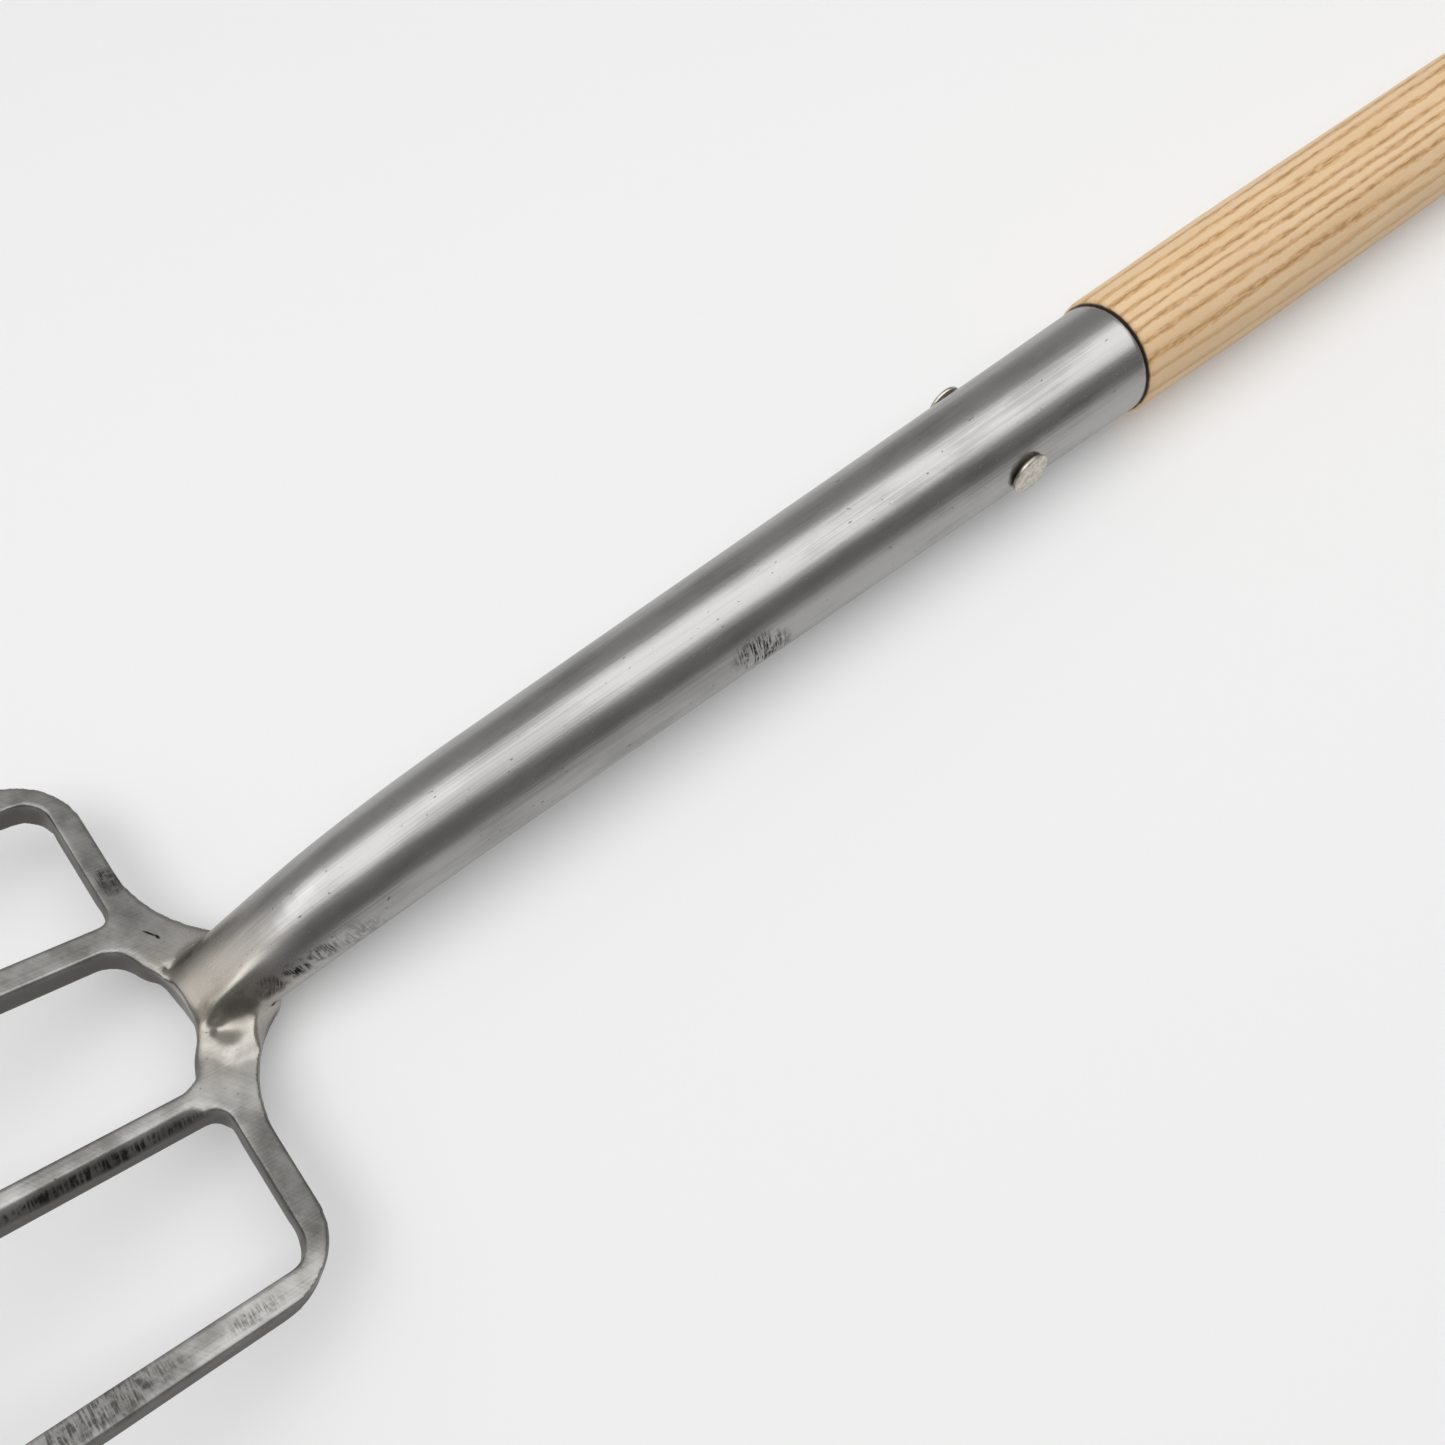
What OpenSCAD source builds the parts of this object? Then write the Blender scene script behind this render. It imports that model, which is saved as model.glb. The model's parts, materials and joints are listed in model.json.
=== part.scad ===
// Four-tine digging fork with a swan-necked socket and a split ash D handle.
// Millimetres. The fork lies face up on a flat surface at z = 0: the tines point
// along -X and rise from the heel, the handle runs along +X, +Y is the left tine.

/* [Socket] */
// Outside diameter of the socket at its mouth
socket_mouth_d = 40; // [37:0.5:43]
// Outside diameter where the straight cone ends and the neck begins
socket_neck_d = 33; // [31:0.5:35]
// Outside diameter of the neck at the crown
socket_crown_d = 26; // [24:0.5:28]
// Length of the straight cone
socket_cone_len = 250; // [220:5:300]
// Wall thickness of the cone
socket_wall = 2.5; // [2:0.1:3.5]
// Length of the bent neck, measured along its axis
neck_len = 112; // [100:2:130]
// Angle through which the neck bends down to the crown
neck_bend = 12; // [10:0.5:13]
// Height of the tines' upper face above the neck's axis at the crown
crown_rise = 8; // [7:0.5:9.5]
// Slope of the flat that is forged on top of the neck
flat_slope = 18; // [17:0.5:20]

/* [Tines] */
// Distance between the centre lines of neighbouring tines
tine_pitch = 55.2; // [50:0.2:60]
// Width of a tine below the crown
tine_w = 8.2; // [7:0.1:9.5]
// Thickness of a tine below the crown
tine_thick = 10; // [9:0.1:11]
// Length of a tine from the arm to its point
tine_len = 285; // [240:5:320]
// Length of the straight stretch below the crown
tine_straight_len = 75; // [60:5:100]
// Angle at which the tines rise from the line of the handle
tine_lift = 26; // [22:0.5:28]
// Further bend of the tines between the straight stretch and the point
tine_curve = 6; // [2:0.5:10]
// Width of a tine at its point
tip_w = 2.4; // [2:0.1:3.5]
// Thickness of a tine at its point
tip_thick = 3; // [2.5:0.1:4]
// Width of the arm that joins the outer tine to the socket
arm_w = 7.4; // [6.5:0.1:8.5]
// Outside radius of the shoulder
shoulder_r = 19; // [16:0.5:22]
// Fillet in the outer corner of an outer gap
outer_gap_r = 7; // [5:0.5:9]
// Fillet between an arm and the root of its inner tine
inner_gap_r = 4.5; // [3:0.5:6]
// Fillet in the corners of the centre gap
centre_gap_r = 8; // [6:0.5:10]
// Radius of the arch at the top of the centre gap
centre_arch_r = 28; // [24:1:40]
// Height of the bevel on the lower front edge of an arm
arm_bevel = 3.5; // [2:0.5:4.5]
// Radius of the hollow edge of the web between an arm and the neck
web_r = 39; // [34:0.5:44]
// Distance from the fork's middle line to the end of the web on the arm
web_end = 47; // [42:0.5:52]
// Length of the web along the neck
web_len = 20; // [17:0.5:22]
// Thickness of the web
web_t = 6; // [5:0.1:7]

/* [Ash shaft] */
// Length of the shaft from the socket's mouth to the throat of the Y
shaft_len = 400; // [380:5:460]
// Diameter of the swelling above the socket
swell_d = 45; // [43.5:0.5:47]
// How far the shoulder of the wood stands proud of the socket's mouth
shoulder_step = 1.6; // [1:0.1:1.7]
// Distance from the mouth to the full swelling
swell_start = 75; // [60:5:90]
// Length of the parallel swelling
swell_len = 120; // [100:5:140]
// Diameter of the shaft at the throat
throat_d = 36; // [34:0.5:38]
// Length of the tapered plug inside the socket
plug_len = 150; // [110:5:180]
// Dark joint between the socket's mouth and the shoulder of the wood
mouth_gap = 0.6; // [0.4:0.1:0.9]
// Radial play between the plug and the socket
plug_play = 0.15; // [0.1:0.05:0.3]

/* [D handle] */
// Length of the bent arms, from the throat to the top of the D
yoke_len = 145; // [135:1:160]
// Length over which an arm swings out to its full spread
yoke_bend_len = 92; // [84:1:96]
// Distance between the centre lines of the two arms at the grip
yoke_spread = 102; // [92:1:112]
// Thickness of an arm at the grip
yoke_arm_t = 16; // [14:0.5:18]
// Height of an arm at the grip
yoke_arm_h = 40; // [36:0.5:42]
// Distance from the top of the D to the axis of the grip
grip_from_top = 21; // [20:0.5:24]
// Diameter of the grip at its middle
grip_d = 30; // [27:0.5:31]
// Diameter of the grip at its ends
grip_end_d = 26; // [24:0.5:26.5]

/* [Rivets] */
// Distance from the socket's mouth to its rivet
rivet_from_mouth = 55; // [40:1:75]
// Shank diameter of the socket's rivet
rivet_d = 8; // [7:0.25:9]
// Head diameter of the socket's rivet
rivet_head_d = 14.5; // [13:0.25:16]
// Head thickness of the socket's rivet
rivet_head_t = 2; // [1.6:0.1:2.5]
// Shank diameter of the grip's rivet
grip_rivet_d = 6; // [5:0.25:7]
// Diameter of the washers under the grip's rivet
grip_washer_d = 17; // [15:0.5:18]
// Shank diameter of the throat's rivet
throat_rivet_d = 5; // [4:0.25:6]
// Diameter of the washers under the throat's rivet
throat_washer_d = 13; // [12:0.5:14]
// Distance from the start of the split back to the throat's rivet
throat_rivet_back = 9; // [8:0.5:12]
// Thickness of every washer
washer_t = 1.6; // [1.2:0.1:2]
// Height of a peened rivet head on its washer
peen_h = 1.5; // [1:0.1:2]
// Radial play of a rivet in its hole
rivet_play = 0.05; // [0.02:0.01:0.1]
// Gap left under a seated head, washer or grip end
seat_gap = 0.05; // [0.02:0.01:0.1]

/* [Hidden] */
$fn = 64;
steel = [0.62, 0.61, 0.60];
rivet_steel = [0.72, 0.70, 0.67];
ash = [0.86, 0.70, 0.50];
grip_ash = [0.80, 0.62, 0.42];
// An allowance that lets a cutting shape run clear of the face that it cuts
clear = 1;
far = 400;

// The neck's axis is an arc in the XZ plane that starts where the cone ends
neck_turns = 48;
neck_rings = 14;
heel_rings = 5;
neck_r = neck_len / (neck_bend * PI / 180);
neck_taper_power = 1.6;
function neck_x(t) = -socket_cone_len - neck_r * sin(neck_bend * t);
function neck_z(t) = -neck_r * (1 - cos(neck_bend * t));
function neck_radius(t) =
    (socket_neck_d - (socket_neck_d - socket_crown_d) * pow(t, neck_taper_power)) / 2;
crown_x = neck_x(1);
crown_z = neck_z(1) + crown_rise;

// Radii of the cone at a place x, which is negative inside the socket
function cone_r(x) = (socket_mouth_d + (socket_neck_d - socket_mouth_d) * -x / socket_cone_len) / 2;
function bore_r(x) = cone_r(x) - socket_wall;

// The tines are drawn in their own plane, with the points along its -X
inner_y = tine_pitch / 2;
outer_y = tine_pitch * 1.5;
arm_low = -arm_w / 6;
arm_high = arm_low + arm_w;
centre_gap_top = arm_high - arm_w / 3;
weld_y = socket_crown_d / 3;
web_lap = arm_w / 2;
tine_arc_r = (tine_len - tine_straight_len) / (tine_curve * PI / 180);
profile_steps = 16;
tip_x = -tine_straight_len - tine_arc_r * sin(tine_curve);
tip_z = tine_arc_r * (1 - cos(tine_curve));
tine_taper_start = tine_straight_len;

// The D handle
split_x = shaft_len;
top_x = shaft_len + yoke_len;
grip_x = top_x - grip_from_top;
yoke_y = yoke_spread / 2;
arm_inner_y = yoke_y - yoke_arm_t / 2;
arm_outer_y = yoke_y + yoke_arm_t / 2;
arm_end_round = yoke_arm_h / 2;
grip_seat = 0.8;
washer_seat = 0.6;
throat_rivet_x = split_x - throat_rivet_back;
throat_seat_y = sqrt(pow(throat_d / 2, 2) - pow(throat_washer_d / 2, 2)) - seat_gap;
peen_share = 1.6;

// The fork rests on the round heel under the crown, and on the swelling or the arms of the D,
// whichever meets the floor first
heel_r = neck_radius(1);
swell_end = swell_start + swell_len;
rest_clear = 0.02;
function tilt_onto(x, drop) = let(run = x - neck_x(1), rise = neck_z(1) + drop + rest_clear)
    asin(heel_r / norm([run, rise])) - atan2(rise, run);
rest_tilt = min(tilt_onto(swell_end, swell_d / 2), tilt_onto(top_x - arm_end_round, yoke_arm_h / 2));
function laid(p) = [p[0] * cos(rest_tilt) + p[2] * sin(rest_tilt), p[1],
    -p[0] * sin(rest_tilt) + p[2] * cos(rest_tilt)];
function from_tine_plane(p) = [crown_x + p[0] * cos(tine_lift) + p[2] * sin(tine_lift), p[1],
    crown_z - p[0] * sin(tine_lift) + p[2] * cos(tine_lift)];
floor_z = laid([neck_x(1), 0, neck_z(1)])[2] - heel_r;
left_end = laid(from_tine_plane([tip_x, 0, tip_z]))[0];
right_end = laid([top_x, 0, 0])[0];

// Places a shape that is drawn about the handle's axis, with the socket's mouth at x = 0
module lay_down() {
    translate([-(left_end + right_end) / 2, 0, -floor_z]) rotate([0, rest_tilt, 0]) children();
}

module in_tine_plane() {
    translate([crown_x, 0, crown_z]) rotate([0, tine_lift, 0]) children();
}

// A cylinder along X from x0 to x1
module along_x(x0, x1, r0, r1) {
    translate([x0, 0, 0]) rotate([0, 90, 0]) cylinder(h = x1 - x0, r1 = r0, r2 = r1);
}

// A cylinder along Y from y0 to y1 at the place x
module along_y(x, y0, y1, r) {
    translate([x, y0, 0]) rotate([-90, 0, 0]) cylinder(h = y1 - y0, r = r);
}

// Skins a list of rings that all have the same number of points, with a fan on each end
function middle_of(ring) = [for (axis = [0 : 2]) [for (p = ring) p[axis]] * [for (p = ring) 1 / len(ring)]];
module loft(rings) {
    n = len(rings[0]);
    last = len(rings) - 1;
    points = concat([for (ring = rings) each ring], [middle_of(rings[0]), middle_of(rings[last])]);
    first_hub = n * (last + 1);
    sides = [for (i = [0 : last - 1], j = [0 : n - 1]) let(k = (j + 1) % n)
        each [[i * n + j, i * n + k, (i + 1) * n + k], [i * n + j, (i + 1) * n + k, (i + 1) * n + j]]];
    ends = [for (j = [0 : n - 1]) let(k = (j + 1) % n)
        each [[first_hub, k, j], [first_hub + 1, last * n + j, last * n + k]]];
    polyhedron(points, concat(sides, ends));
}

// The arch at the top of the centre gap, seen from above in the tines' plane
module centre_arch() {
    translate([centre_gap_top - centre_arch_r, 0]) circle(centre_arch_r);
}

// One ring of the socket's outside: square to an axis that dips by bend at the place x, z
function socket_ring(x, z, r, bend) = [for (j = [0 : neck_turns - 1])
    let(a = 360 * j / neck_turns, up = r * sin(a))
    [x - up * sin(bend), r * cos(a), z + up * cos(bend)]];

// The outside of the socket, closed at the mouth: cone, bent neck, round heel and the flat on top
module socket_body() {
    neck = [for (i = [0 : neck_rings]) let(t = i / neck_rings)
        socket_ring(neck_x(t), neck_z(t), neck_radius(t), neck_bend * t)];
    heel = [for (i = [1 : heel_rings]) let(a = 90 * i / (heel_rings + 0.5), run = heel_r * sin(a))
        socket_ring(neck_x(1) - run * cos(neck_bend), neck_z(1) - run * sin(neck_bend),
            heel_r * cos(a), neck_bend)];
    difference() {
        loft(concat([socket_ring(0, 0, socket_mouth_d / 2, 0)], neck, heel));
        in_tine_plane() translate([centre_gap_top, -far / 2, 0])
            rotate([0, -flat_slope - tine_lift, 0]) translate([-far / 2, 0, 0]) cube(far);
    }
}

module socket() {
    color(steel) lay_down() difference() {
        socket_body();
        in_tine_plane() translate([0, 0, -far / 2]) linear_extrude(far) centre_arch();
        along_x(-socket_cone_len, clear, bore_r(-socket_cone_len), bore_r(clear));
        along_y(-rivet_from_mouth, -socket_mouth_d, socket_mouth_d, rivet_d / 2 + rivet_play);
    }
}

// One tine from below its root to its point, about the line y = centre
module tine_outline(centre) {
    polygon([[-tine_taper_start, centre - tine_w / 2], [-tine_taper_start, centre + tine_w / 2],
        [tip_x, centre + tip_w / 2], [tip_x, centre - tip_w / 2]]);
    translate([arm_low - tine_taper_start, centre - tine_w / 2]) square([tine_taper_start, tine_w]);
}

// A square corner filled up to a fillet: the corner is at the origin, the fillet in +X +Y
module fillet_corner(r) {
    difference() {
        square(r);
        translate([r, r]) circle(r);
    }
}

// The left outer tine seen from above: arm, shoulder and tine are one bent bar
module outer_outline() {
    difference() {
        union() {
            translate([arm_low, weld_y]) square([arm_w, outer_y + tine_w / 2 - weld_y]);
            translate([arm_high - shoulder_r, outer_y - tine_w / 2]) square([shoulder_r, tine_w]);
            tine_outline(outer_y);
        }
        translate([arm_high - shoulder_r, outer_y + tine_w / 2 - shoulder_r]) difference() {
            square(shoulder_r + clear);
            circle(shoulder_r);
        }
        centre_arch();
    }
    translate([arm_low, outer_y - tine_w / 2]) rotate(180) fillet_corner(outer_gap_r);
}

// The web that runs from the left arm up to the side of the neck
module web_outline() {
    difference() {
        translate([arm_high - web_lap, weld_y]) square([web_len + web_lap, web_end - weld_y]);
        translate([arm_high + web_r, web_end]) circle(web_r);
    }
}

// The left inner tine seen from above: its foot flares where it meets the arm
module inner_outline() {
    tine_outline(inner_y);
    translate([arm_low, inner_y + tine_w / 2]) mirror([1, 0]) fillet_corner(inner_gap_r);
    translate([arm_low, inner_y - tine_w / 2]) rotate(180) fillet_corner(centre_gap_r);
}

// The side of a tine: straight below the crown, then an arc that thins to the point
module tine_side() {
    top = [for (i = [0 : profile_steps]) let(a = tine_curve * i / profile_steps)
        [-tine_straight_len - tine_arc_r * sin(a), tine_arc_r * (1 - cos(a))]];
    under = [for (i = [profile_steps : -1 : 0]) let(a = tine_curve * i / profile_steps,
            t = tine_thick + (tip_thick - tine_thick) * i / profile_steps)
        top[i] - t * [sin(a), cos(a)]];
    polygon(concat([[far / 4, 0]], top, under, [[far / 4, -tine_thick]]));
}

// Gives an outline the side of a tine
module tine_blank() {
    intersection() {
        translate([0, 0, -far / 4]) linear_extrude(far / 2) children();
        translate([0, far, 0]) rotate([90, 0, 0]) linear_extrude(far) tine_side();
    }
}

// The bevel under the front of an arm, between its two fillets
module under_arm() {
    translate([arm_low, inner_y + tine_w / 2 + inner_gap_r, arm_bevel - tine_thick])
        rotate([0, 45, 0]) translate([-far / 8, 0, -far / 4])
            cube([far / 4, outer_y - inner_y - tine_w - inner_gap_r - outer_gap_r - clear, far / 4]);
}

// The left outer tine with its bevelled arm and its web, fitted to the socket
module outer_blank() {
    difference() {
        in_tine_plane() difference() {
            union() {
                tine_blank() outer_outline();
                translate([0, 0, -web_t]) linear_extrude(web_t) web_outline();
            }
            under_arm();
        }
        socket_body();
    }
}

// The left inner tine, fitted to the socket
module inner_blank() {
    difference() {
        in_tine_plane() tine_blank() inner_outline();
        socket_body();
    }
}

module left_outer_tine() {
    color(steel) lay_down() outer_blank();
}

module left_inner_tine() {
    color(steel) lay_down() inner_blank();
}

module right_inner_tine() {
    color(steel) lay_down() mirror([0, 1, 0]) inner_blank();
}

module right_outer_tine() {
    color(steel) lay_down() mirror([0, 1, 0]) outer_blank();
}

// A smooth step from 0 to 1
function ease(u) = (1 - cos(180 * max(0, min(1, u)))) / 2;

// Radius of the shaft at a distance x from the mouth
shoulder_d = socket_mouth_d + 2 * shoulder_step;
function shaft_r(x) = x < swell_end
    ? (shoulder_d + (swell_d - shoulder_d) * ease(x / swell_start)) / 2
    : (swell_d + (throat_d - swell_d) * ease((x - swell_end) / (shaft_len - swell_end))) / 2;
shaft_steps = 14;

module shaft_profile() {
    rise = [for (i = [0 : shaft_steps]) let(x = mouth_gap + (swell_start - mouth_gap) * i / shaft_steps)
        [shaft_r(x), x]];
    fall = [for (i = [0 : shaft_steps]) let(x = swell_end + (shaft_len - swell_end) * i / shaft_steps)
        [shaft_r(x), x]];
    polygon(concat([[0, -plug_len], [bore_r(-plug_len) - plug_play, -plug_len],
        [bore_r(0) - plug_play, 0], [bore_r(0) - plug_play, mouth_gap]],
        rise, fall, [[0, shaft_len]]));
}

// One arm of the D. Its section grows from half of the round shaft to a soft rectangle.
yoke_rings = 24;
end_rings = 5;
yoke_points = 28;
yoke_square = 0.45;
split_overlap = 0.5;
split_step = 0.25;
split_r = throat_d / 2 - split_step;
function soft(v) = sign(v) * pow(abs(v), yoke_square);
function spread_at(u) = yoke_y * ease(u);
function spread_slope(u) = atan(yoke_y * 90 * PI / 180 * sin(180 * min(1, u)) / yoke_bend_len);
function yoke_section(x, shrink) = let(
        u = (x - split_x) / yoke_bend_len,
        w = ease(u * 1.6),
        half_t = yoke_arm_t / 2 / cos(spread_slope(u)) * shrink,
        half_h = (split_r + (yoke_arm_h / 2 - split_r) * ease(u)) * shrink,
        middle = max(spread_at(u), yoke_arm_t / 2 * w))
    [for (j = [0 : yoke_points - 1]) let(a = -90 - 360 * j / yoke_points)
        [x, (1 - w) * max(split_r * cos(a), -split_overlap) + w * (middle + half_t * soft(cos(a))),
            (1 - w) * split_r * sin(a) + w * half_h * soft(sin(a))]];

module yoke_arm() {
    straight_end = top_x - arm_end_round;
    loft(concat(
        [yoke_section(split_x - clear, 1)],
        [for (i = [0 : yoke_rings]) yoke_section(split_x + (straight_end - split_x) * i / yoke_rings, 1)],
        [for (i = [1 : end_rings]) let(a = 85 * i / end_rings)
            yoke_section(straight_end + arm_end_round * sin(a), pow(cos(a), 0.7))]));
}

module ash_shaft() {
    color(ash) lay_down() difference() {
        union() {
            rotate([0, 90, 0]) rotate_extrude() shaft_profile();
            yoke_arm();
            mirror([0, 1, 0]) yoke_arm();
        }
        along_y(-rivet_from_mouth, -socket_mouth_d, socket_mouth_d, rivet_d / 2 + rivet_play);
        along_y(grip_x, -yoke_spread, yoke_spread, grip_rivet_d / 2 + rivet_play);
        along_y(grip_x, -arm_inner_y - grip_seat, arm_inner_y + grip_seat, grip_end_d / 2 + seat_gap);
        along_y(throat_rivet_x, -throat_d, throat_d, throat_rivet_d / 2 + rivet_play);
        for (side = [0, 1]) mirror([0, side, 0]) {
            along_y(grip_x, arm_outer_y - washer_seat, yoke_spread, grip_washer_d / 2 + seat_gap);
            along_y(throat_rivet_x, throat_seat_y, throat_d, throat_washer_d / 2 + seat_gap);
        }
    }
}

// A rivet along Y with a low chamfered head at both ends
module socket_rivet() {
    head_y = cone_r(rivet_head_d / 2 - rivet_from_mouth) + seat_gap;
    rim = rivet_head_t * 0.6;
    chamfer = rivet_head_t - rim;
    color(rivet_steel) lay_down() {
        along_y(-rivet_from_mouth, -head_y - rim, head_y + rim, rivet_d / 2);
        for (side = [0, 1]) mirror([0, side, 0])
            translate([-rivet_from_mouth, head_y, 0]) rotate([-90, 0, 0]) {
                cylinder(h = rim, d = rivet_head_d);
                translate([0, 0, rim])
                    cylinder(h = chamfer, d1 = rivet_head_d, d2 = rivet_head_d - 2 * chamfer);
            }
    }
}

// A barrel-shaped grip turned about Y
grip_steps = 12;
grip_half = arm_inner_y + grip_seat - seat_gap;
module hand_grip() {
    barrel = [for (i = [0 : grip_steps]) let(u = 2 * i / grip_steps - 1)
        [(grip_end_d + (grip_d - grip_end_d) * (1 - u * u)) / 2, grip_half * u]];
    bore = grip_rivet_d / 2 + rivet_play;
    color(grip_ash) lay_down() translate([grip_x, 0, 0]) rotate([-90, 0, 0])
        rotate_extrude() polygon(concat([[bore, -grip_half]], barrel, [[bore, grip_half]]));
}

// A pair of washers on the line y, seated at the distance seat from the middle
module washer_pair(x, seat, outside_d, hole_d) {
    for (side = [0, 1]) mirror([0, side, 0]) difference() {
        along_y(x, seat + seat_gap, seat + seat_gap + washer_t, outside_d / 2);
        along_y(x, seat - clear, seat + washer_t + clear, hole_d / 2 + rivet_play);
    }
}

// A rod along Y whose two ends are peened over a pair of washers
module peened_rivet(x, seat, shank_d) {
    top = seat + washer_t + 2 * seat_gap;
    along_y(x, -top, top, shank_d / 2);
    for (side = [0, 1]) mirror([0, side, 0]) translate([x, top, 0]) rotate([-90, 0, 0])
        cylinder(h = peen_h, d1 = shank_d * peen_share, d2 = shank_d);
}

module grip_rivet() {
    color(rivet_steel) lay_down() peened_rivet(grip_x, arm_outer_y - washer_seat, grip_rivet_d);
}

module grip_washers() {
    color(rivet_steel) lay_down()
        washer_pair(grip_x, arm_outer_y - washer_seat, grip_washer_d, grip_rivet_d);
}

module throat_rivet() {
    color(rivet_steel) lay_down() peened_rivet(throat_rivet_x, throat_seat_y, throat_rivet_d);
}

module throat_washers() {
    color(rivet_steel) lay_down()
        washer_pair(throat_rivet_x, throat_seat_y, throat_washer_d, throat_rivet_d);
}

socket();
left_outer_tine();
left_inner_tine();
right_inner_tine();
right_outer_tine();
ash_shaft();
socket_rivet();
hand_grip();
grip_rivet();
grip_washers();
throat_rivet();
throat_washers();
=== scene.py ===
"""A four-tine digging fork: welded steel head, ash shaft split into a D handle, riveted together.

Pieces are shaped on drawing benches in millimetres, one along the handle and one in the plane of
the tines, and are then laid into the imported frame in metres.
"""

import json
import logging
from collections.abc import Sequence
from dataclasses import dataclass
from enum import Enum
from functools import partial
from math import atan2, copysign, cos, pi, radians, sin, sqrt, tan

import bpy
import numpy as np
from bpy.types import Material, Node, NodeSocket, NodeTree, Object
from mathutils import Matrix, Vector
from mathutils.geometry import intersect_point_line


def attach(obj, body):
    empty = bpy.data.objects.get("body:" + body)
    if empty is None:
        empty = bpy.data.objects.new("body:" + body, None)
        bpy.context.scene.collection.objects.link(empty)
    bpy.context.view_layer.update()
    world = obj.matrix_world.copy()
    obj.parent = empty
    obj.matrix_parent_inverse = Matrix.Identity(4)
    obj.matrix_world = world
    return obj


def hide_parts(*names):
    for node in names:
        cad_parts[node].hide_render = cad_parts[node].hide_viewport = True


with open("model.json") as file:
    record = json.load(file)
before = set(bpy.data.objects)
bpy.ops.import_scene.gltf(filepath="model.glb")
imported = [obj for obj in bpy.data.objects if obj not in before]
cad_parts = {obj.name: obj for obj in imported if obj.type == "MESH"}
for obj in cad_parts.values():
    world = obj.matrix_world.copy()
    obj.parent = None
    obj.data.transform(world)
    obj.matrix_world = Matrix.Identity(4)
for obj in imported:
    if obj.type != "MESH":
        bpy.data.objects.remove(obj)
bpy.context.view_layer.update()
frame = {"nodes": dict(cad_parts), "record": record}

LOG = logging.getLogger("digging_fork")
MM = 0.001
# Points closer than this, in millimetres, are the same.
SAME = 1e-4

Pair = tuple[float, float]
Triple = tuple[float, float, float]


class Slot(Enum):
    """The record's material slots."""

    GROUND_STEEL = "ground_steel"
    RIVET_STEEL = "rivet_steel"
    ASH = "ash"
    GRIP_ASH = "grip_ash"


class Trace(Enum):
    """Attributes that a mesh carries for its finish."""

    GROUND = "ground"
    ROLLED = "rolled"
    STAVE = "stave"


# Benches


@dataclass(frozen=True)
class Bench:
    """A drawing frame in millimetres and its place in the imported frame.

    Args:
        to_row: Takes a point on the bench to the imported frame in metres.
        turn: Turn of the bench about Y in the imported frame, in radians.
    """

    to_row: Matrix
    turn: float

    def lay(self, piece: Object) -> None:
        """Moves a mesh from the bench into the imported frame."""
        piece.data.transform(self.to_row)
        piece.data.update()

    def take(self, piece: Object) -> None:
        """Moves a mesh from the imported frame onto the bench."""
        piece.data.transform(self.to_row.inverted())
        piece.data.update()


CROWN = Vector((-361.183, 0.0, -3.686))
TINE_LIFT = radians(26)
SEAT_MIDDLE = 135.0


def handle_bench() -> Bench:
    """The bench along the handle, with the socket's mouth at its origin.

    Returns:
        The bench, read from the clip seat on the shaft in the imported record.
    """
    seat = next(m for m in frame["record"]["mounts"] if m["name"] == "shaft_clip_seat")
    along = Vector(seat["axis"]).normalized()
    left = Vector((0, 1, 0))
    up = along.cross(left)
    turned = Matrix((along, left, up)).transposed().to_4x4()
    mouth = Vector(seat["pos_m"]) - along * SEAT_MIDDLE * MM
    return Bench(Matrix.Translation(mouth) @ turned @ Matrix.Scale(MM, 4), atan2(-along.z, along.x))


def tine_bench(handle: Bench) -> Bench:
    """The bench in the plane of the tines, with their points along -X and their upper face at z = 0.

    Args:
        handle: The bench along the handle.

    Returns:
        The bench at the crown.
    """
    place = Matrix.Translation(CROWN) @ Matrix.Rotation(TINE_LIFT, 4, "Y")
    return Bench(handle.to_row @ place, handle.turn + TINE_LIFT)


HANDLE = handle_bench()
TINES = tine_bench(HANDLE)


# Hand tools


def eased(u: float) -> float:
    """A smooth rise from 0 to 1 as u goes from 0 to 1."""
    return (1 - cos(pi * max(0.0, min(1.0, u)))) / 2


def ramp(x: float, low: float, high: float) -> float:
    """A straight rise from 0 at low to 1 at high."""
    return max(0.0, min(1.0, (x - low) / (high - low)))


def put_down() -> None:
    """Leaves edit mode and selects nothing."""
    if bpy.context.object and bpy.context.object.mode != "OBJECT":
        bpy.ops.object.mode_set(mode="OBJECT")
    bpy.ops.object.select_all(action="DESELECT")


def only(*pieces: Object) -> None:
    """Selects these pieces and nothing else.

    Args:
        pieces: The pieces, of which the first becomes the active one.
    """
    put_down()
    for piece in pieces:
        piece.select_set(True)
    bpy.context.view_layer.objects.active = pieces[0]


def edit(piece: Object, kind: str = "VERT") -> None:
    """Opens one piece for editing with everything selected.

    Args:
        piece: The piece.
        kind: What can be selected, points or edges, in Blender's words.
    """
    only(piece)
    bpy.ops.object.mode_set(mode="EDIT")
    bpy.ops.mesh.select_mode(type=kind)
    bpy.ops.mesh.select_all(action="SELECT")


def outward() -> None:
    """Turns all faces of the piece outwards and leaves edit mode."""
    bpy.ops.mesh.select_all(action="SELECT")
    bpy.ops.mesh.normals_make_consistent(inside=False)
    bpy.ops.object.mode_set(mode="OBJECT")


def modify(piece: Object, kind: str, **settings: object) -> None:
    """Adds a modifier and applies it.

    Args:
        piece: The piece to change.
        kind: Blender's name for the modifier.
        settings: The modifier's own settings.
    """
    only(piece)
    bpy.ops.object.modifier_add(type=kind)
    added = piece.modifiers[-1]
    for key, value in settings.items():
        setattr(added, key, value)
    bpy.ops.object.modifier_apply(modifier=added.name)


def sanded(piece: Object, strokes: int, group: str = "") -> None:
    """Smooths a piece, or only the points of a group."""
    modify(piece, "SMOOTH", factor=0.5, iterations=strokes, vertex_group=group)


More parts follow.
